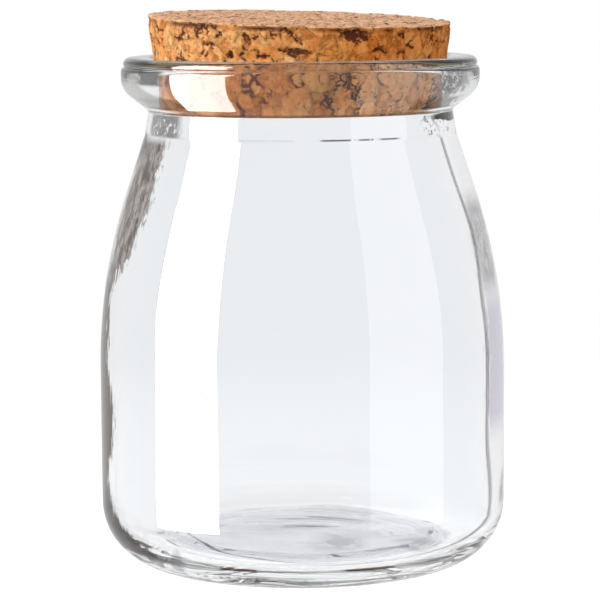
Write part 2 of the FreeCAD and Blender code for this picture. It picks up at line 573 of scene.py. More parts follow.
@dataclass(frozen=True)
class ClearGlass:
    """Clear moulded glass, polished by the flame.

    Attributes:
        clear: Its tint where light goes straight through.
        dark_edge: The painted reflection of the dark room where light grazes the outside, on the side that
            faces it.
        streak: The lighter streaks in that painted reflection.
        pale_edge: The painted pale reflection at the other side's edge.
        grey_edge: The same painted reflection, grey, round the shoulder.
        lilac_edge: The same painted reflection, lilac, below the shoulder.
        inner_edge: The painted dark reflection where light grazes the inside.
        olive: The painted shade of the stopper, in shadow, seen through the rim.
        rim_end: The painted grey reflection at the rim's ends.
        lip: The painted shade under the lip: a dark crescent where the stopper, in shadow, shows through.
        rim_foot: The painted shade along the line where the rim meets the neck.
        neck_crease: The painted shade in dashes along the crease of the neck.
        brown: The painted reflection of the dark room at the heel, in brown.
        heel_lines: The fine dark lines of the heel, on the right.
        seam: The line round the heel.
        glint: The painted brown glints on two pieces of that line.
        second_line: The broken line under it.
        dots: The dots under the heel.
        heel_patch: The grey patch at the left of the heel.
        floor_shade: The painted shade of the floor's middle, seen through all of its glass.
        floor_ring: The painted shade in a ring round the floor, darkest at the left front.
        floor_patch_grey: The grey of painted patches on the floor, which stand in for the surroundings seen
            through the base.
        seed: The rim of a small bubble.
        floor_patches: Where those patches are, in millimetres: x, y, half their width and depth, and their
            strength.
        seeds: Where small bubbles are: bearing from +X, and height in millimetres.
        ior: How strongly it bends light.
        roughness: How dull its surface is.
    """

    clear: Colour = (0.976, 0.988, 1.0)
    dark_edge: Colour = tinted(88, 74, 62)
    streak: Colour = tinted(178, 168, 162)
    pale_edge: Colour = tinted(250, 250, 252)
    grey_edge: Colour = tinted(164, 158, 160)
    lilac_edge: Colour = tinted(208, 204, 218)
    inner_edge: Colour = tinted(30, 28, 30)
    olive: Colour = tinted(86, 80, 62)
    rim_end: Colour = tinted(188, 189, 184)
    lip: Colour = tinted(124, 112, 86)
    rim_foot: Colour = tinted(120, 116, 108)
    neck_crease: Colour = tinted(124, 124, 128)
    brown: Colour = tinted(84, 66, 54)
    heel_lines: Colour = tinted(134, 132, 120)
    seam: Colour = tinted(160, 160, 162)
    glint: Colour = tinted(122, 90, 74)
    second_line: Colour = tinted(140, 140, 138)
    dots: Colour = tinted(126, 126, 122)
    heel_patch: Colour = tinted(128, 128, 130)
    floor_shade: Colour = tinted(224, 223, 227)
    floor_ring: Colour = tinted(96, 92, 90)
    floor_patch_grey: Colour = tinted(184, 184, 187)
    seed: Colour = tinted(130, 128, 130)
    floor_patches: tuple[tuple[float, ...], ...] = (
        (6.0, -13.0, 6.0, 9.0, 0.9), (19.0, -12.0, 5.0, 7.0, 0.9), (-2.0, -2.0, 9.0, 7.0, 0.4),
        (8.0, 14.0, 9.0, 8.0, 0.35), (-13.0, -4.0, 5.0, 8.0, 0.3),
    )
    seeds: tuple[tuple[float, ...], ...] = (
        (-156.0, 49.6), (-139.0, 49.9), (-155.0, 47.2), (-40.0, 59.5), (-118.0, 33.0), (20.0, 41.0),
        (64.0, 27.0), (110.0, 55.0), (151.0, 20.0),
    )
    ior: float = 1.52
    roughness: float = 0.0

    def paint_wall(self, skin: Skin) -> None:
        """Paints the outer wall's edges with painted reflections: dark and streaky on one side, pale on the
        other.

        Args:
            skin: The skin that is painted.
        """
        graph, height = skin.graph, skin.height
        left = graph.fade(skin.x, 12, -12)
        right = graph.rest(left)
        flow = graph.warped(graph.scaled(skin.place, 1.0, 1.0, 0.22), 1.2, 0.7)
        fibres = graph.noise(flow, 0.9, 3.0, 0.7, 3.0)
        grazing = graph.math("ADD", skin.facing, graph.remap(fibres, 0.3, 0.7, -0.055, 0.055, soft=False))
        shoulder = graph.fade(graph.math("MULTIPLY_ADD", fibres, 5 * MM, height), 50, 56)
        heel = graph.fade(height, 16, 5)

        # Where the painted dark reflection starts: wider on the shoulder, at the heel and low on the wall
        start = graph.math("MULTIPLY_ADD", shoulder, -0.245, 0.735)
        narrower = graph.fade(height, 62, 50, 0.0, 0.085, soft=False)
        for place, change in ((shoulder, narrower), (heel, -0.16), (skin.level(20, 32, 9), -0.08)):
            start = graph.math("MULTIPLY_ADD", place, change, start)
        dark = graph.remap(graph.math("SUBTRACT", grazing, start), -0.02, 0.025)
        fringe = graph.math("MULTIPLY", graph.remap(grazing, 0.80, 0.93, 1.0, 0.35), shoulder)
        fringe = graph.math("ADD", fringe, graph.rest(shoulder))
        streaks = graph.product(graph.remap(fibres, 0.44, 0.62), shoulder)
        streaky = graph.mix(heel, graph.mix(streaks, self.dark_edge, self.streak), self.brown)

        # Painted reflections: pale, lilac and grey on the right edge, the dark room with its streaks on the
        # left, brown at the heel
        skin.paint(self.pale_edge, graph.remap(skin.facing, 0.60, 0.67), right)
        skin.paint(self.lilac_edge, skin.level(24, 46, 6), graph.band(grazing, 0.62, 0.92, 0.05), right)
        skin.paint(self.grey_edge, skin.level(47, 62, 5), graph.remap(grazing, 0.55, 0.66),
                   graph.remap(grazing, 0.97, 0.86), right, graph.remap(fibres, 0.60, 0.45, 0.7, 1.0))
        # Fine dark lines at the right of the heel
        fine_lines = graph.warped(graph.scaled(skin.place, 0.12, 0.12, 1.0), 2, 0.8)
        fine_lines = graph.remap(graph.noise(fine_lines, 0.55, 3.0, 0.65, 41.0), 0.46, 0.56)
        skin.paint(self.heel_lines, fine_lines, graph.fade(skin.x, 15, 24), graph.fade(skin.y, 2, -4),
                   skin.level(1.6, 5.5, 2.0), 0.8)
        skin.paint(streaky, dark, fringe, left, graph.fade(height, 3.2, 4.4))
        painted = graph.product(graph.fade(height, 71, 73, 1.0, 0.0), skin.outside)
        skin.tint = graph.mix(painted, self.clear, skin.tint)

    def paint_rim(self, skin: Skin) -> None:
        """Paints shade into the neck and the rim: dark patches where the stopper, in shadow, shows through the
        glass.

        Args:
            skin: The skin that is painted.
        """
        graph, facing, outside = skin.graph, skin.facing, skin.outside
        left = graph.fade(skin.x, 6, -6)
        right = graph.rest(left)
        blotch = graph.noise(graph.warped(skin.place, 1.5, 1.0), 1.3, 3.0, 0.7, 6.0)
        grazing = graph.math("ADD", facing, graph.remap(blotch, 0.3, 0.7, -0.07, 0.07, soft=False))
        apart = graph.math("MULTIPLY_ADD", blotch, 3 * MM, graph.math("ABSOLUTE", skin.x))
        beside = graph.fade(apart, 22.5, 24.5)
        mottled = graph.remap(graph.noise(skin.place, 0.7, 2.0, 0.7, 19.0), 0.50, 0.66, 1.0, 0.72)
        upper = graph.product(skin.level(80.9, 83.6, 0.7), left, beside,
                              graph.band(grazing, 0.30, 0.60, 0.08))
        whole = graph.product(skin.level(78.6, 83.5, 0.7), right, beside,
                              graph.band(grazing, 0.30, 0.67, 0.08),
                              graph.remap(blotch, 0.62, 0.54, 0.62, 1.0), mottled)
        lower = graph.product(skin.level(76.9, 78.8, 0.6), graph.band(grazing, 0.62, 0.82, 0.06))
        patch = graph.math("ADD", graph.math("ADD", upper, whole), lower, clamp=True)
        skin.paint(self.olive, patch, outside, 0.95)
        skin.paint(self.rim_end, graph.remap(facing, 0.54, 0.62), graph.fade(skin.height, 76.5, 77.5),
                   outside, graph.fade(skin.x, -6, 6, 0.85, 0.42))
        skin.paint(self.lip, skin.level(83.8, 84.85, 0.3), outside, graph.remap(grazing, 0.24, 0.34),
                   graph.remap(grazing, 0.75, 0.60))
        skin.paint(self.rim_foot, skin.level(76.1, 76.5, 0.16), outside, 0.6)

        # Painted reflection of the dark room: marks on the neck where it grazes the view, more on the left
        speckle = graph.noise(skin.place, 0.9, 3.0, 0.75, 9.0)
        marks = graph.math("ADD", graph.product(graph.remap(speckle, 0.36, 0.47), left),
                           graph.product(graph.remap(speckle, 0.55, 0.60), right), clamp=True)
        skin.paint(self.dark_edge, skin.level(72.4, 76.0, 0.5), graph.band(facing, 0.38, 0.76, 0.08),
                   marks, outside, 0.92)

    def paint_floor(self, skin: Skin) -> None:
        """Paints the inner wall's painted dark line, and on the floor painted grey patches, painted shade and
        a dark ring.

        Args:
            skin: The skin that is painted.
        """
        graph, x, height = skin.graph, skin.x, skin.height
        off_floor = graph.math("MAXIMUM", graph.fade(height, 9, 11), graph.fade(skin.reach, 25.5, 27.0))
        # Painted dark reflection along the inner wall's edge
        skin.paint(self.inner_edge, graph.remap(skin.facing, 0.795, 0.815), skin.inside, graph.fade(x, -6, 6),
                   graph.fade(height, 73, 71), off_floor)
        floor = graph.product(graph.fade(height, 8, 7), skin.inside)
        loose = graph.warped(skin.flat, 9, 7)
        cloudy = graph.remap(graph.noise(loose, 4, 3.0, 0.6, 31.0), 0.38, 0.56, 0.35, 1.0)
        # Painted grey patches that stand in for the surroundings seen through the base
        for across, along, width, depth, strength in self.floor_patches:
            away = graph.away(loose, (across * MM, along * MM, 0.0), width, depth, math.inf)
            skin.paint(self.floor_patch_grey, graph.remap(away, 1.1, 0.3), floor, cloudy, strength)
        skin.paint(self.floor_shade, floor, graph.fade(skin.reach, 26, 24), blend="MULTIPLY")
        # Painted shade: a dark ring round the floor, darkest at the left front
        ring = graph.vector("DISTANCE", skin.flat, (2.5 * MM, -4 * MM, 0.0))
        skin.paint(self.floor_ring, graph.strip(ring, 21.3, 21.8, 0.25), floor,
                   graph.fade(x, 10, -8, 0.2, 0.95), graph.fade(skin.y, 2, -4, 0.1, 1.0))

    def paint_marks(self, skin: Skin) -> None:
        """Paints the heel's lines, painted glints, dots and grey patch, the neck's painted shade and the small
        bubbles.

        Args:
            skin: The skin that is painted.
        """
        graph, x, outside = skin.graph, skin.x, skin.outside
        front = graph.fade(skin.y, -10, -14)
        skin.paint(self.seam, skin.level(4.15, 4.45, 0.16), outside, 0.5)
        # Painted glints: two brown pieces of the seam, on the front
        pieces = graph.math("ADD", graph.strip(x, -13.4, -7.3, 1), graph.strip(x, 6.5, 14.6, 1))
        skin.paint(self.glint, skin.level(4.05, 4.55, 0.16), outside, front, pieces)
        broken = graph.remap(graph.noise(skin.flat, 14, 2.0, 0.5, 2.0), 0.40, 0.55)
        skin.paint(self.second_line, skin.level(2.7, 3.0, 0.2), outside, broken, 0.7)
        dots = graph.remap(graph.cells(skin.place, 1.1).outputs["Distance"], 0.42, 0.28)
        heel_dots = graph.product(dots, skin.level(0.9, 2.8, 0.4), outside, graph.fade(x, 12, -12, 0.4, 0.9))
        under = graph.product(outside, graph.fade(skin.height, 2.0, 1.6))
        ring_dots = graph.product(dots, graph.strip(skin.reach, 20.2, 22.6, 0.4), under,
                                  graph.fade(x, 11, 15), front)
        skin.paint(self.dots, graph.math("ADD", heel_dots, ring_dots, clamp=True))
        local = graph.vector("SUBTRACT", skin.place, (-20.3 * MM, -23.5 * MM, 4.6 * MM))
        heel_patch = graph.scaled(graph.warped(local, 3, 2), 1 / (1.5 * MM), 1 / (6 * MM), 1 / (2.8 * MM))
        skin.paint(self.heel_patch, graph.remap(graph.vector("LENGTH", heel_patch), 1.1, 0.5), outside, 0.7)

        # Painted shade in dashes along the crease of the neck, on the front
        faint = graph.math("MULTIPLY", graph.strip(x, -10, -1, 1), 0.2)
        dashes = graph.math("ADD", graph.strip(x, 3.1, 15.8, 1.2), faint)
        gaps = graph.remap(graph.noise(skin.flat, 2, 2.0, 0.5, 27.0), 0.36, 0.44)
        skin.paint(self.neck_crease, skin.level(72.3, 72.6, 0.14), outside, front, dashes, gaps)
        nearest = 1.0
        for bearing, level in self.seeds:
            turn = math.radians(bearing)
            out = 34.0 - 0.35 * max(level - 47.0, 0.0)
            spot = Vector((out * math.cos(turn), out * math.sin(turn), level)) * MM
            nearest = graph.math("MINIMUM", graph.vector("DISTANCE", skin.place, spot), nearest)
        skin.paint(self.seed, graph.fade(nearest, 0.34, 0.18))

    def edge_tint(self, graph: Graph) -> Socket:
        """The tint that light takes on at the skin, with the painted reflections and shade laid over the
        clear.

        Args:
            graph: The material's tree.

        Returns:
            The tint's colour, for light that enters from the air and for light that leaves the glass.
        """
        skin = Skin(graph, self.clear)
        for layer in (self.paint_wall, self.paint_rim, self.paint_floor, self.paint_marks):
            layer(skin)
        # Painted dark reflection of the inner wall, for light that leaves the glass
        inner = graph.product(graph.remap(skin.facing, 0.234, 0.244), skin.inside, graph.fade(skin.x, -6, 6),
                              skin.level(8, 71, 3))
        leaving = graph.mix(inner, self.clear, self.inner_edge)
        return graph.mix(graph.add("ShaderNodeNewGeometry").outputs["Backfacing"], skin.tint, leaving)

    def fuller_bead(self, graph: Graph) -> Socket:
        """Turns the rim's tucked underside towards upright, as on a fuller bead, to mirror the windows.

        Args:
            graph: The material's tree.

        Returns:
            The normal.
        """
        height = graph.parts(graph.object_place())[2]
        tucked = graph.product(graph.strip(height, 76.8, 82.5, 0.6), graph.attribute("outside"))
        upward = graph.math("MULTIPLY_ADD", tucked, -0.88, 1.0)
        flatten = graph.add("ShaderNodeCombineXYZ", {0: 1.0, 1: 1.0, 2: upward})
        normal = graph.add("ShaderNodeNewGeometry").outputs["Normal"]
        return graph.vector("NORMALIZE", graph.vector("MULTIPLY", normal, flatten.outputs[0]))

    def build(self) -> bpy.types.Material:
        """Makes the material. Lamps shine through it, so that it throws no black shadow.

        Returns:
            The material.
        """
        material = bpy.data.materials.new("clear_glass")
        graph = Graph.emptied(material)
        glass = graph.add("ShaderNodeBsdfPrincipled", {
            "Base Color": self.edge_tint(graph), "Roughness": self.roughness, "IOR": self.ior,
            "Transmission Weight": 1.0, "Metallic": 0.0, "Normal": self.fuller_bead(graph),
        })
        rays = graph.add("ShaderNodeLightPath")
        through = graph.add("ShaderNodeBsdfTransparent", {"Color": (0.965, 0.97, 0.97)})
        mixed = graph.add("ShaderNodeMixShader", {
            0: rays.outputs["Is Shadow Ray"], 1: glass.outputs[0], 2: through.outputs[0],
        })
        graph.add("ShaderNodeOutputMaterial", {"Surface": mixed.outputs[0]})
        return material


@dataclass(frozen=True)
class Gouge:
    """A place where granules have fallen out of the stopper's side, in millimetres and degrees.

    Attributes:
        bearing: Where it is, from +X.
        height: Its height above the table.
        width: Half its width round the stopper.
        tall: Half its height.
        lean: How far it leans from upright.
    """

    bearing: float
    height: float
    width: float
    tall: float
    lean: float = 0.0


@dataclass(frozen=True)
class GranulePattern:
    """How pressed cork granules lie. The same pattern drives the relief and the colours.

    Attributes:
        granule: Width of a large granule, in millimetres.
        crumb: Width of the small crumbs between them.
        radius: Distance of the gouges from the axis.
        reach: How far each gouge is felt in from that radius.
        gouges: Where granules have fallen out.
    """

    granule: float = 2.7
    crumb: float = 1.05
    radius: float = 25.0
    reach: float = 3.0
    gouges: tuple[Gouge, ...] = (
        Gouge(-69.5, 88.9, 3.3, 1.25, 4.0), Gouge(-92.0, 86.5, 3.2, 0.55, 8.0),
        Gouge(-29.0, 89.3, 0.8, 1.9, 20.0), Gouge(-117.0, 86.0, 0.9, 0.8),
        Gouge(-110.0, 88.3, 0.7, 1.4, -30.0), Gouge(-104.0, 85.8, 1.2, 0.5),
        Gouge(-60.0, 86.6, 1.6, 0.4, -20.0), Gouge(35.0, 88.0, 2.2, 0.9), Gouge(80.0, 89.0, 1.2, 1.2),
        Gouge(128.0, 87.4, 2.6, 0.7, 12.0), Gouge(176.0, 88.6, 1.4, 0.9),
    )

    def hollow(self, graph: Graph, place: Wire, gouge: Gouge) -> Socket:
        """How deep a point lies in one gouge: 0 at its edge, more towards its middle.

        Args:
            graph: The tree.
            place: The coordinates, in metres.
            gouge: The gouge.

        Returns:
            The depth, which is negative outside the gouge.
        """
        angle = math.radians(gouge.bearing)
        centre = Vector((self.radius * math.cos(angle), self.radius * math.sin(angle), gouge.height)) * MM
        local = place
        for axis, turn in (("Z_AXIS", -angle), ("X_AXIS", math.radians(gouge.lean))):
            local = graph.add("ShaderNodeVectorRotate", {"Vector": local, "Center": centre, "Angle": turn},
                              rotation_type=axis).outputs[0]
        return graph.rest(graph.away(local, centre, self.reach, gouge.width, gouge.tall))

    def lean(self, graph: Graph, bent: Wire, cell: bpy.types.Node, size: float) -> Socket:
        """Leans each granule its own way, so that its face isn't flush with its neighbours.

        Args:
            graph: The tree.
            bent: The coordinates that the cells were drawn in.
            cell: The cell pattern.
            size: The width of a cell, in millimetres.

        Returns:
            A height of about -0.5 to 0.5.
        """
        local = graph.vector("SUBTRACT", bent, cell.outputs["Position"])
        way = graph.vector("SUBTRACT", cell.outputs["Color"], (0.5, 0.5, 0.5))
        return graph.math("MULTIPLY", graph.vector("DOT_PRODUCT", local, way), 2.0 / (size * MM))

    def overhang(self, graph: Graph, place: Wire) -> Socket:
        """Where the top's edge stands over the side: 1 there and 0 elsewhere."""
        return graph.remap(graph.noise(place, 7, 2.0, 0.55, 17.0), 0.40, 0.52)

    def draw(self, graph: Graph, place: Socket) -> dict[str, Socket]:
        """Adds the pattern's nodes to a shader or to geometry nodes.

        Args:
            graph: The tree.
            place: The coordinates, in metres.

        Returns:
            height: how far granules stand out; tone, hue and fine: random values of each granule and crumb;
            gash: 1 in the short dark gaps; shade: where shade is painted round them; pit: 1 in the deeper
                holes;
            rough: a fine noise.
        """
        bent = graph.warped(graph.warped(place, 3.2, 1.3), 0.7, 0.42)
        large, small = (graph.cells(bent, size) for size in (self.granule, self.crumb))
        large_gap, small_gap = (graph.cells(bent, size, "DISTANCE_TO_EDGE").outputs["Distance"]
                                for size in (self.granule, self.crumb))
        crumbly = graph.remap(graph.noise(place, 3.6, 2.0, 0.5, 4.0), 0.44, 0.56)
        large_lean = self.lean(graph, bent, large, self.granule)
        small_lean = self.lean(graph, bent, small, self.crumb)
        height = graph.math("MULTIPLY_ADD", graph.math("MULTIPLY", small_lean, crumbly), 0.6, large_lean)

        open_joint = graph.remap(graph.noise(place, 1.9, 2.0, 0.6, 8.0), 0.52, 0.60)
        small_gash = graph.math("MULTIPLY", graph.remap(small_gap, 0.03, 0.16, 1.0, 0.0), crumbly)
        gash = graph.math("MAXIMUM", graph.remap(large_gap, 0.03, 0.12, 1.0, 0.0), small_gash)
        small_near = graph.math("MULTIPLY", graph.remap(small_gap, 0.0, 0.35, 1.0, 0.0), crumbly)
        near = graph.math("MAXIMUM", graph.remap(large_gap, 0.0, 0.30, 1.0, 0.0), small_near)

        rough = graph.noise(place, 0.8, 3.0, 0.65, 31.0)
        ragged = graph.math("MULTIPLY_ADD", rough, 2.4, -1.2)
        depth = graph.remap(graph.noise(place, 3.0, 2.0, 0.6, 40.0), 0.68, 0.78, -1.0, 1.0, soft=False)
        for gouge in self.gouges:
            depth = graph.math("MAXIMUM", depth, self.hollow(graph, place, gouge))
        pit = graph.remap(graph.math("ADD", depth, ragged), 0.05, 0.40)
        tone = graph.parts(large.outputs["Color"])
        fine = graph.parts(small.outputs["Color"])
        return {"height": height, "tone": tone[0], "hue": tone[1], "fine": fine[2],
                "gash": graph.math("MULTIPLY", gash, open_joint), "shade": near, "pit": pit, "rough": rough}


@dataclass(frozen=True)
class PressedCork:
    """Pressed cork granules, matt and dry.

    Attributes:
        pattern: How the granules lie.
        pale: The palest granules.
        tan: The common granules.
        brown: The darkest granules.
        olive: The painted shade round the gaps.
        bark_and_shade: The dark of the gaps and the cork's dark bits, partly their own colour and partly
            painted shade in the hollows, and the painted shadow under the top's edge.
        end_tone: The colour to which the cut end leans.
        end_speck: The dark specks of the cut end.
        side_shade: The painted shade, a warm brown, into which the side away from the key light is multiplied.
        mouth_shade: The painted shade of the part inside the mouth.
        roughness: How dull its surface is.
        shine: How much it mirrors.
        bump: How deep its finest relief looks, in metres.
    """

    pattern: GranulePattern = GranulePattern()
    pale: Colour = linear(252, 194, 130)
    tan: Colour = linear(238, 158, 86)
    brown: Colour = linear(206, 120, 52)
    olive: Colour = linear(150, 98, 38)
    bark_and_shade: Colour = linear(78, 32, 20)
    end_tone: Colour = linear(228, 188, 158)
    end_speck: Colour = linear(92, 58, 38)
    side_shade: Colour = linear(242, 216, 178)
    mouth_shade: Colour = linear(206, 192, 170)
    roughness: float = 0.85
    shine: float = 0.12
    bump: float = 0.22 * MM

    def side_colour(self, graph: Graph, place: Socket, parts: dict[str, Socket], grain: Socket,
                    end_face: Socket) -> Socket:
        """The granules' colours, with painted shade round the gaps between them on the side.

        Args:
            graph: The material's tree.
            place: Object coordinates. Not used.
            parts: What the pattern gives.
            grain: A fine grain.
            end_face: 1 on the cut end.

        Returns:
            The colour.
        """
        own = graph.math("MULTIPLY_ADD", parts["fine"], 0.35, graph.math("MULTIPLY", parts["tone"], 0.40))
        granule = graph.math("MULTIPLY_ADD", graph.remap(grain, 0.3, 0.7, 0.0, 1.0, soft=False), 0.35, own)
        colour = graph.ramp(granule, ((0.15, self.brown), (0.45, self.tan), (0.85, self.pale)))
        # Painted shade round the gaps, on the side only
        shade = graph.product(parts["shade"], graph.remap(parts["rough"], 0.35, 0.6, 0.25, 1.0),
                              graph.remap(parts["hue"], 0.3, 0.7, 0.2, 0.75))
        return graph.mix(graph.product(shade, graph.rest(end_face)), colour, self.olive)

    def painted_shade(self, graph: Graph, place: Socket, colour: Wire) -> Socket:
        """Paints shade: darker and warmer on the side away from the key light above the rim, darker inside the
        mouth.

        Args:
            graph: The material's tree.
            place: Object coordinates.
            colour: The colour so far.

        Returns:
            The colour.
        """
        axes = graph.parts(place)
        patchy = graph.noise(place, 16, 2.0, 0.5, 50.0)
        # Painted shade on the side away from the key light, above the rim
        warm = graph.fade(graph.math("MULTIPLY_ADD", patchy, 40 * MM, axes[0]), 8, 30)
        colour = graph.mix(graph.product(warm, graph.fade(axes[2], 84, 85)), colour, self.side_shade, "MULTIPLY")
        # Painted shade on the part inside the mouth
        held = graph.fade(graph.math("MULTIPLY_ADD", patchy, 14 * MM, axes[0]), 17, 9)
        return graph.mix(graph.product(held, graph.fade(axes[2], 84.9, 84.2)), colour, self.mouth_shade, "MULTIPLY")

    def build(self) -> bpy.types.Material:
        """Makes the material.

        Returns:
            The material.
        """
        material = bpy.data.materials.new("pressed_cork")
        graph = Graph.emptied(material)
        place = graph.object_place()
        parts = self.pattern.draw(graph, place)
        end_face = graph.attribute("end_face")
        grain = graph.noise(graph.scaled(place, 1.0, 1.0, 0.6), 0.7, 3.0, 0.7, 12.0)
        speck = graph.noise(graph.warped(place, 1.4, 0.6), 1.0, 3.0, 0.7, 20.0)
        colour = self.side_colour(graph, place, parts, grain, end_face)
        end_colour = graph.mix(graph.remap(grain, 0.40, 0.62, 0.55, 0.85), colour, self.end_tone)
        end_colour = graph.mix(graph.remap(speck, 0.52, 0.60, 0.0, 0.85), end_colour, self.end_speck)
        colour = graph.mix(graph.remap(speck, 0.60, 0.68, 0.0, 0.65), colour, self.bark_and_shade)
        colour = self.painted_shade(graph, place, colour)
        # Painted shadow under the top's overhanging edge
        shadow = graph.product(graph.attribute("under_edge"), self.pattern.overhang(graph, place), 0.9)
        colour = graph.mix(shadow, colour, self.bark_and_shade)
        colour = graph.mix(end_face, colour, end_colour)
        # The gaps and pits are darkened: partly the cork's own dark bits, partly painted shade in the hollows
        gap = graph.math("MAXIMUM", parts["gash"], parts["pit"])
        shown = graph.remap(end_face, 0.0, 1.0, 0.95, 0.45)
        frayed = graph.product(graph.remap(grain, 0.50, 0.64), parts["pit"], 0.7)
        bark_and_shade = graph.mix(frayed, self.bark_and_shade, self.brown)
        colour = graph.mix(graph.math("MULTIPLY", gap, shown), colour, bark_and_shade)

        height = graph.math("MULTIPLY_ADD", grain, 0.35, graph.math("MULTIPLY", parts["height"], 0.8))
        height = graph.math("SUBTRACT", height, gap)
        bump = graph.add("ShaderNodeBump", {"Strength": 0.7, "Distance": self.bump, "Height": height})
        surface = graph.add("ShaderNodeBsdfPrincipled", {
            "Base Color": colour, "Roughness": self.roughness, "Normal": bump.outputs[0],
            "Specular IOR Level": self.shine,
        })
        graph.add("ShaderNodeOutputMaterial", {"Surface": surface.outputs[0]})
        return material


# The jar


@dataclass
class GlassJar:
    """The jar: one skin from the push-up under its base, over the rim and down to its inner floor.

    Its sizes are in millimetres and degrees, as its maker would give them, and bear their own names.

    Attributes:
        mouth: The cone that takes the stopper.
        glass: Its finish.
        step_radius: Radius of the step round the middle of the floor.
        step_height: How far that step rises above the floor's edge.
        thinning: How much thinner the wall is at its thinnest.
        swelling: How far the inside swells in and out.
        rippling: How far the floor does.
        sinking: How far the outside sinks in.
        sides: How many steps go round.
        spacing: The longest step along a straight run, in metres.
    """

    mouth: Mouth
    glass: ClearGlass
    body_diameter: float = 68.0
    wall: float = 2.4
    neck_wall: float = 1.85
    rim_wall: float = 5.3
    bead_height: float = 8.8
    bead_underside_angle: float = 38.0
    lip_height: float = 1.5
    lip_step: float = 0.4
    crease_depth: float = 0.6
    crease_width: float = 0.6
    neck_height: float = 4.0
    neck_angle: float = 9.5
    shoulder_angle: float = 18.5
    shoulder_radius: float = 95.0
    heel_radius: float = 10.5
    inner_heel_radius: float = 6.5
    standing_ring_width: float = 2.5
    push_up: float = 2.0
    floor_edge_height: float = 3.7
    floor_middle_height: float = 5.3
    push_up_dome: float = 150.0
    ring_edge_radius: float = 6.0
    neck_crease_radius: float = 3.0
    bead_root_radius: float = 0.8
    bead_lower_radius: float = 4.0
    bead_upper_radius: float = 0.9
    crease_radius: float = 0.1
    lip_radius: float = 1.4
    mouth_edge_radius: float = 1.2
    throat_radius: float = 6.0
    floor_dome: float = 60.0
    step_radius: float = 21.9
    step_height: float = 1.1
    thinning: float = 0.75
    swelling: float = 0.10
    rippling: float = 0.5
    sinking: float = 0.05
    sides: int = 384
    spacing: float = 2.2 * MM

    def neck_foot(self) -> tuple[float, float]:
        """The crease where the neck meets the shoulder.

        Returns:
            Its radius and its height.
        """
        bead_foot = self.mouth.rim_height - self.bead_height
        top = self.mouth.radius_at(bead_foot) + self.neck_wall
        return top + self.neck_height * tan_deg(self.neck_angle), bead_foot - self.neck_height

    def base(self) -> list[Corner]:
        """Underside: the push-up, the ring that the jar stands on, and the heel.

        Returns:
            The corners of this part of the section.
        """
        body = self.body_diameter / 2
        ring = body - self.heel_radius - self.standing_ring_width
        return [
            Corner(0.0, self.push_up),
            Corner(ring / 2, self.push_up, self.push_up_dome, 8),
            Corner(ring, 0.0, self.ring_edge_radius, 5),
            Corner(body, 0.0, self.heel_radius, 16),
        ]

    def side(self) -> list[Corner]:
        """Outside of the wall, the shoulder and the neck.

        Returns:
            The corners of this part of the section.
        """
        body = self.body_diameter / 2
        bead_foot = self.mouth.rim_height - self.bead_height
        crease, crease_height = self.neck_foot()
        turn = crease_height - (body - crease) / tan_deg(self.shoulder_angle)
        return [
            Corner(body, turn, self.shoulder_radius, 18),
            Corner(crease, crease_height, self.neck_crease_radius, 5),
            Corner(self.mouth.radius_at(bead_foot) + self.neck_wall, bead_foot, self.bead_root_radius, 5),
        ]

    def rim(self) -> list[Corner]:
        """The bead, the crease over it, the lip and the edge of the mouth.

        Returns:
            The corners of this part of the section.
        """
        top = self.mouth.rim_height
        bead = self.mouth.diameter / 2 + self.rim_wall
        bead_foot = top - self.bead_height
        overhang = bead - self.mouth.radius_at(bead_foot) - self.neck_wall
        crease_height = top - self.lip_height
        lip = bead - self.lip_step
        return [
            Corner(bead, bead_foot + overhang * tan_deg(self.bead_underside_angle), self.bead_lower_radius, 8),
            Corner(bead, crease_height - self.crease_width / 2, self.bead_upper_radius, 6),
            Corner(bead - self.crease_depth, crease_height, self.crease_radius, 2),
            Corner(lip, crease_height + self.crease_width / 2, self.crease_radius, 2),
            Corner(lip, top, self.lip_radius, 8),
            Corner(self.mouth.diameter / 2, top, self.mouth_edge_radius, 7),
        ]

    def inside(self) -> list[Corner]:
        """The throat, the inside of the shoulder and the wall, and the floor with its low dome.

        Returns:
            The corners of this part of the section.
        """
        inner = self.body_diameter / 2 - self.wall
        floor_edge = inner - self.inner_heel_radius
        crease, crease_height = self.neck_foot()
        slope = tan_deg(self.shoulder_angle)
        line = crease + crease_height * slope - self.wall / math.cos(math.radians(self.shoulder_angle))
        throat = (line - self.mouth.radius_at(0.0)) / (slope + tan_deg(self.mouth.taper))
        return [
            Corner(self.mouth.radius_at(throat), throat, self.throat_radius, 7),
            Corner(inner, (line - inner) / slope, self.shoulder_radius - self.wall, 18),
            Corner(inner, self.floor_edge_height, self.inner_heel_radius, 10),
            Corner(floor_edge, self.floor_edge_height, self.inner_heel_radius, 6),
            Corner(self.step_radius + 0.9, self.floor_edge_height + 0.25, 1.0, 3),
            Corner(self.step_radius, self.floor_edge_height + self.step_height, 0.5, 4),
            Corner(floor_edge / 2, self.floor_middle_height, self.floor_dome, 8),
            Corner(0.0, self.floor_middle_height),
        ]

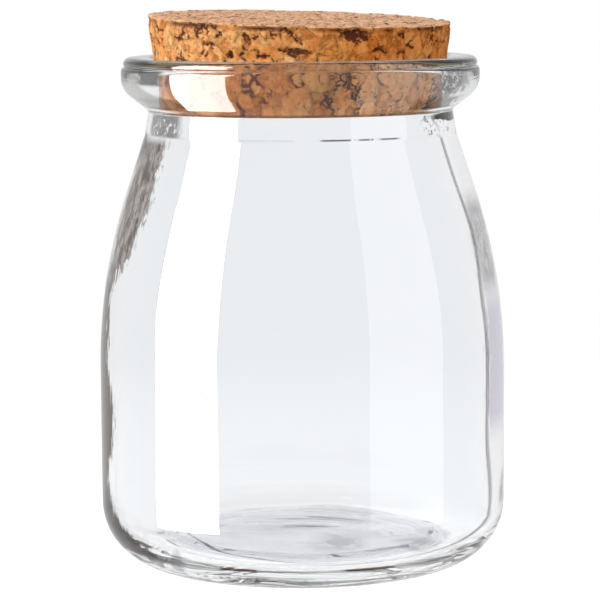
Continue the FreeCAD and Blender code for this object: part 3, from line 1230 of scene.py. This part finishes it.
    def unevenness(self, vert: bmesh.types.BMVert) -> Vector:
        """How far moulding has moved a point of the skin.

        Args:
            vert: The point, still in its true place.

        Returns:
            The move, along the skin's normal. The outside only ever moves inwards.
        """
        place = vert.co / MM
        radius = math.hypot(place.x, place.y)
        rim = smooth(66.0, 73.0, place.z)
        outward = (vert.normal.x * place.x + vert.normal.y * place.y) / max(radius, 1.0)
        swell = noise.noise(place / 22 + Vector((3, 9, 4))) + 0.4 * noise.noise(place / 9 + Vector((7, 3, 1)))
        floor_point = self.floor_edge_height - 0.5 < place.z < 12 and radius < 28 and vert.normal.z > 0.3
        if floor_point:
            streak = noise.noise(Vector((place.x / 11, place.y / 7, 5.0)))
            return vert.normal * self.rippling * streak * smooth(29.0, 20.0, radius) * MM
        if outward > -0.2 or place.z < 4:
            return vert.normal * (-self.sinking * abs(swell) * (1 - rim) * smooth(0.5, 4.0, place.z)) * MM
        move = self.swelling * swell - self.thinning * smooth(10.0, -32.0, place.x)
        return vert.normal * move * (1 - rim) * smooth(4.0, 12.0, place.z) * MM

    def build(self) -> bpy.types.Object:
        """Turns the jar, makes its walls uneven and dresses it.

        Returns:
            The jar's object.
        """
        skin = turned(self.base() + self.side() + self.rim() + self.inside(), self.spacing, self.sides)
        skin.normal_update()
        outside = skin.verts.layers.float.new("outside")
        for vert in skin.verts:
            outward = vert.normal.x * vert.co.x + vert.normal.y * vert.co.y
            floor = vert.normal.z > 0.3 and vert.co.z < 12 * MM
            vert[outside] = 1.0 if outward > 0 and not floor or vert.co.z < 3 * MM else 0.0
        moves = [(vert, self.unevenness(vert)) for vert in skin.verts]
        for vert, move in moves:
            vert.co += move
        piece = finished_piece(skin, "jar_glass", self.glass.build())
        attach(piece, "root")
        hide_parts("jar")
        return piece


# The stopper


@dataclass
class CorkStopper:
    """The tapered stopper, wedged in the mouth, with its top cut a little out of square.

    Sizes are in millimetres and degrees.

    Attributes:
        mouth: The cone in which it sits.
        cork: Its finish.
        above_rim: Its height above the rim, on the axis.
        below_rim: Its depth below the rim.
        clearance: Between it and the mouth.
        edge_radius: How far its edges are worn round.
        top_slope: How far its top is cut out of square.
        slope_towards: The side to which the top falls, from +X.
        sides: How many steps go round.
        spacing: The longest step up the side, in metres.
        relief: How deep the gaps between granules are, in metres.
    """

    mouth: Mouth
    cork: PressedCork
    above_rim: float = 6.40
    below_rim: float = 8.6
    clearance: float = 0.05
    edge_radius: float = 0.4
    top_slope: float = 2.5
    slope_towards: float = -43.0
    sides: int = 520
    spacing: float = 0.32 * MM
    relief: float = 0.22 * MM

    def section(self) -> list[Corner]:
        """The section of the stopper before its top is sloped.

        Returns:
            Its corners, from the axis to the axis.
        """
        bottom = self.mouth.rim_height - self.below_rim
        top = self.mouth.rim_height + self.above_rim
        return [
            Corner(0.0, bottom),
            Corner(self.mouth.radius_at(bottom) - self.clearance, bottom, self.edge_radius, 3),
            Corner(self.mouth.radius_at(top) - self.clearance, top, self.edge_radius, 4),
            Corner(0.0, top),
        ]

    def slope_top(self, mesh: bmesh.types.BMesh) -> None:
        """Tilts everything above the rim towards the sloping top, along the stopper's own cone.

        Args:
            mesh: The turned stopper.
        """
        angle = math.radians(self.slope_towards)
        fall = Vector((math.cos(angle), math.sin(angle), 0.0)) * tan_deg(self.top_slope)
        rim = self.mouth.rim_height * MM
        full = self.above_rim * MM
        for vert in mesh.verts:
            share = min(max((vert.co.z - rim) / full, 0.0), 1.0)
            drop = -vert.co.dot(fall) * share
            flat = Vector((vert.co.x, vert.co.y, 0.0))
            edge = self.mouth.radius_at(vert.co.z / MM) * MM
            widen = drop * tan_deg(self.mouth.taper) / edge
            vert.co += flat * widen + Vector((0.0, 0.0, drop))

    def mark_ends(self, mesh: bmesh.types.BMesh) -> None:
        """Marks the cut top and the strip under its edge in attributes, which relief and finish use.

        Args:
            mesh: The stopper, before its top is sloped.
        """
        end_face = mesh.verts.layers.float.new("end_face")
        under_edge = mesh.verts.layers.float.new("under_edge")
        top = self.mouth.rim_height + self.above_rim
        mesh.normal_update()
        for vert in mesh.verts:
            down = top - vert.co.z / MM
            side = 1 - smooth(0.3, 0.7, abs(vert.normal.z))
            vert[end_face] = smooth(0.35, 0.8, vert.normal.z)
            vert[under_edge] = smooth(0.35, 0.6, down) * smooth(1.5, 0.8, down) * side

    def relief_group(self) -> bpy.types.NodeTree:
        """Geometry nodes that sink the gaps between granules into the skin.

        Returns:
            The node group.
        """
        tree = bpy.data.node_groups.new("granule_relief", "GeometryNodeTree")
        for way in ("INPUT", "OUTPUT"):
            tree.interface.new_socket("Geometry", in_out=way, socket_type="NodeSocketGeometry")
        graph = Graph(tree)
        entry = graph.add("NodeGroupInput")
        place = graph.add("GeometryNodeInputPosition").outputs[0]
        normal = graph.add("GeometryNodeInputNormal").outputs[0]
        parts = self.cork.pattern.draw(graph, place)
        under_edge = graph.add("GeometryNodeInputNamedAttribute", {"Name": "under_edge"},
                               data_type="FLOAT").outputs[0]
        under = graph.math("MULTIPLY", under_edge, self.cork.pattern.overhang(graph, place))
        sunk = graph.math("MAXIMUM", graph.math("SUBTRACT", 0.4, parts["height"]), 0.0)
        sunk = graph.math("ADD", sunk, parts["gash"])
        sunk = graph.math("MULTIPLY_ADD", under, 1.3, sunk)
        sunk = graph.math("MULTIPLY_ADD", parts["pit"], 3.2, sunk)
        move = graph.vector("SCALE", normal, graph.math("MULTIPLY", sunk, -self.relief))
        moved = graph.add("GeometryNodeSetPosition", {"Geometry": entry.outputs[0], "Offset": move})
        graph.add("NodeGroupOutput", {0: moved.outputs[0]})
        return tree

    def press_relief(self, piece: bpy.types.Object) -> None:
        """Gives the stopper its granular relief and keeps the result as its own mesh.

        Args:
            piece: The stopper's object.
        """
        modifier = piece.modifiers.new("granules", "NODES")
        modifier.node_group = self.relief_group()
        shaped = piece.evaluated_get(bpy.context.evaluated_depsgraph_get())
        mesh = bpy.data.meshes.new_from_object(shaped)
        piece.modifiers.clear()
        mesh.name = piece.data.name
        piece.data = mesh
        mesh.shade_smooth()

    def build(self) -> bpy.types.Object:
        """Turns the stopper, slopes its top, presses its relief and dresses it.

        Returns:
            The stopper's object.
        """
        skin = turned(self.section(), self.spacing, self.sides, 8 * self.spacing)
        self.mark_ends(skin)
        self.slope_top(skin)
        piece = finished_piece(skin, "cork_stopper", self.cork.build())
        self.press_relief(piece)
        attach(piece, "root")
        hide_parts("cork")
        return piece


# The studio


class Side(Enum):
    """On which side of the camera a lamp stands."""

    LEFT = -1
    RIGHT = 1


class Task(Enum):
    """What a lamp is for."""

    LIGHT = "light"
    REFLECTION = "reflection"


@dataclass(frozen=True)
class Softbox:
    """A soft rectangular lamp that stands round the table and faces the jar.

    Attributes:
        name: Its name.
        side: Left or right of the camera.
        task: Whether it lights the cork and the table, or is only mirrored by the glass.
        inner: Bearing of its edge nearer to the camera, in degrees from the camera.
        outer: Bearing of its other edge.
        distance: How far it stands from the jar's axis, in metres.
        low: Height of its lower edge, in metres.
        high: Height of its upper edge.
        radiance: How bright its face is, where 1 is white.
    """

    name: str
    side: Side
    task: Task
    inner: float
    outer: float
    distance: float
    low: float
    high: float
    radiance: float

    def build(self) -> bpy.types.Object:
        """Makes the lamp.

        Returns:
            The lamp's object.
        """
        bearing = math.radians((self.inner + self.outer) / 2) * self.side.value
        data = bpy.data.lights.new(self.name, "AREA")
        data.shape = "RECTANGLE"
        data.size = 2 * self.distance * tan_deg(abs(self.outer - self.inner) / 2)
        data.size_y = self.high - self.low
        data.energy = self.radiance * math.pi * data.size * data.size_y
        lamp = bpy.data.objects.new(self.name, data)
        away = Vector((math.sin(bearing), -math.cos(bearing), 0.0))
        lamp.location = away * self.distance + Vector((0, 0, (self.low + self.high) / 2))
        lamp.rotation_euler = away.to_track_quat("Z", "Y").to_euler()
        mirrored = self.task is Task.REFLECTION
        lamp.visible_camera = False
        lamp.visible_transmission = False
        lamp.visible_glossy = mirrored
        lamp.visible_diffuse = not mirrored
        bpy.context.scene.collection.objects.link(lamp)
        return lamp


@dataclass
class Studio:
    """The pale table, the white surroundings and the lamps.

    Attributes:
        floor_radius: Radius of the table, in metres.
        paper: The table's colour, which takes the shadow.
        lift: Light that the table gives the camera on top of what falls on it.
        lift_through: The same for what is seen through glass.
        fade_start: How far from the jar the table starts to fade into plain white.
        fade_end: Where it has faded.
        seen_white: The white behind the glass.
        ceiling: The dark overhead that the glass bends into view.
        mirrored_front: The room in front, which the glass mirrors.
        mirrored_back: The white behind, which its edges mirror.
        mirrored_table: The table, which its undersides mirror.
        fill: The light from all round.
        lamps: The lamps.
    """

    floor_radius: float = 2.5
    paper: float = 0.40
    lift: float = 0.72
    lift_through: float = 0.60
    fade_start: float = 0.12
    fade_end: float = 0.30
    seen_white: float = 0.90
    ceiling: Colour = linear(66, 62, 50)
    mirrored_front: float = 0.10
    mirrored_back: float = 0.75
    mirrored_table: float = 0.45
    fill: float = 0.50
    lamps: list[Softbox] = field(default_factory=lambda: [
        Softbox("left_window", Side.LEFT, Task.REFLECTION, 47.0, 89.0, 0.62, -0.16, 0.62, 17.0),
        Softbox("right_window", Side.RIGHT, Task.REFLECTION, 37.0, 84.0, 0.62, -0.14, 0.62, 1.4),
        Softbox("key", Side.LEFT, Task.LIGHT, 40.0, 105.0, 0.80, 0.15, 1.05, 3.65),
        Softbox("filler", Side.RIGHT, Task.LIGHT, 10.0, 65.0, 0.80, 0.05, 0.70, 1.22),
    ])

    def unlit(self, graph: Graph, rays: bpy.types.bpy_prop_collection) -> Socket:
        """1 for rays that the camera sees straight or through glass, 0 for rays that light a surface.

        Args:
            graph: The tree.
            rays: Outputs of its Light Path node.

        Returns:
            The mask.
        """
        return graph.math("LESS_THAN", rays["Diffuse Depth"], 0.5)

    def build_floor(self) -> bpy.types.Object:
        """The table, white to the camera and to the glass, with the object's own shadow on it.

        Returns:
            The table's object.
        """
        disc = bmesh.new()
        bmesh.ops.create_circle(disc, cap_ends=True, radius=self.floor_radius, segments=128)
        material = bpy.data.materials.new("studio_paper")
        graph = Graph.emptied(material)
        rays = graph.add("ShaderNodeLightPath").outputs
        away = graph.vector("LENGTH", graph.object_place())
        through = graph.math("MULTIPLY", rays["Is Transmission Ray"], self.unlit(graph, rays))
        near = graph.math("MULTIPLY", rays["Is Camera Ray"], self.lift)
        near = graph.math("MULTIPLY_ADD", through, self.lift_through, near)
        far = graph.math("MULTIPLY_ADD", through, self.seen_white, rays["Is Camera Ray"])
        paper = graph.add("ShaderNodeBsdfDiffuse", {"Color": (self.paper,) * 3})
        lift = graph.add("ShaderNodeEmission", {"Color": (1, 1, 1), "Strength": near})
        plain = graph.add("ShaderNodeEmission", {"Color": (1, 1, 1), "Strength": far})
        lit = graph.add("ShaderNodeAddShader", {0: paper.outputs[0], 1: lift.outputs[0]})
        faded = graph.remap(away, self.fade_start, self.fade_end)
        faded = graph.math("MULTIPLY", faded, self.unlit(graph, rays))
        both = graph.add("ShaderNodeMixShader", {0: faded, 1: lit.outputs[0], 2: plain.outputs[0]})
        graph.add("ShaderNodeOutputMaterial", {"Surface": both.outputs[0]})
        floor = finished_piece(disc, "table", material)
        floor.visible_glossy = False
        return floor

    def build_world(self) -> bpy.types.World:
        """The surroundings: white where they are seen, darker where the glass mirrors them.

        Returns:
            The world.
        """
        world = bpy.data.worlds.new("studio")
        bpy.context.scene.world = world
        graph = Graph.emptied(world)
        rays = graph.add("ShaderNodeLightPath").outputs
        axes = graph.parts(graph.add("ShaderNodeTexCoord").outputs["Generated"])
        white = (self.seen_white,) * 3
        overhead = graph.mix(graph.remap(axes[2], 0.60, 0.80), white, self.ceiling)
        back = graph.remap(axes[1], 0.0, 0.7, self.mirrored_front, self.mirrored_back)
        down = graph.remap(axes[2], -0.24, -0.42)
        room = graph.math("MAXIMUM", graph.math("MULTIPLY", down, self.mirrored_table), back)
        mirror = graph.mix(room, (0.0, 0.0, 0.0), (1.0, 1.0, 1.0))
        colour = graph.mix(rays["Is Transmission Ray"], mirror, overhead)
        colour = graph.mix(rays["Is Camera Ray"], colour, (1.0, 1.0, 1.0))
        colour = graph.mix(self.unlit(graph, rays), (self.fill,) * 3, colour)
        sky = graph.add("ShaderNodeBackground", {"Color": colour, "Strength": 1.0})
        graph.add("ShaderNodeOutputWorld", {"Surface": sky.outputs[0]})
        return world

    def set_bounces(self) -> None:
        """Lets light travel far enough inside thick glass."""
        cycles = bpy.context.scene.cycles
        cycles.max_bounces = 32
        cycles.glossy_bounces = 24
        cycles.transmission_bounces = 24

    def build(self) -> None:
        """Sets up the table, the surroundings and the lamps."""
        self.set_bounces()
        self.build_floor()
        self.build_world()
        for lamp in self.lamps:
            lamp.build()


@dataclass
class Viewpoint:
    """The camera: a long lens a little above the jar.

    Attributes:
        distance: In front of the jar's axis, in metres.
        height: Above the table.
        aim: The point on which it is centred.
        lens: Focal length in millimetres.
        roll: How far it is turned about its own view, in degrees.
    """

    distance: float = 0.480
    height: float = 0.10153
    aim: Vector = field(default_factory=lambda: Vector((-0.00031, 0.0, 0.04403)))
    lens: float = 172.24
    roll: float = -0.4

    def build(self) -> bpy.types.Object:
        """Makes the camera and gives it to the scene.

        Returns:
            The camera's object.
        """
        data = bpy.data.cameras.new("camera")
        data.lens = self.lens
        data.sensor_width = 36.0
        data.clip_start = 0.01
        data.clip_end = 20.0
        camera = bpy.data.objects.new("camera", data)
        camera.location = (0.0, -self.distance, self.height)
        look = (self.aim - camera.location).to_track_quat("-Z", "Y").to_matrix()
        turned_look = look @ Matrix.Rotation(math.radians(self.roll), 3, "Z")
        camera.rotation_euler = turned_look.to_euler()
        bpy.context.scene.collection.objects.link(camera)
        bpy.context.scene.camera = camera
        return camera


def main() -> None:
    """Builds the jar, the stopper and the studio."""
    logging.basicConfig(level=logging.INFO, format="%(message)s")
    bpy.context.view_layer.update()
    bpy.context.scene.view_settings.view_transform = "Standard"

    mouth = Mouth()
    Viewpoint().build()
    Studio().build()
    for maker in (GlassJar(mouth, ClearGlass()), CorkStopper(mouth, PressedCork())):
        piece = maker.build()
        LOG.info("%s: %d faces", piece.name, len(piece.data.polygons))

    bpy.context.view_layer.update()


if __name__ == "__main__":
    main()
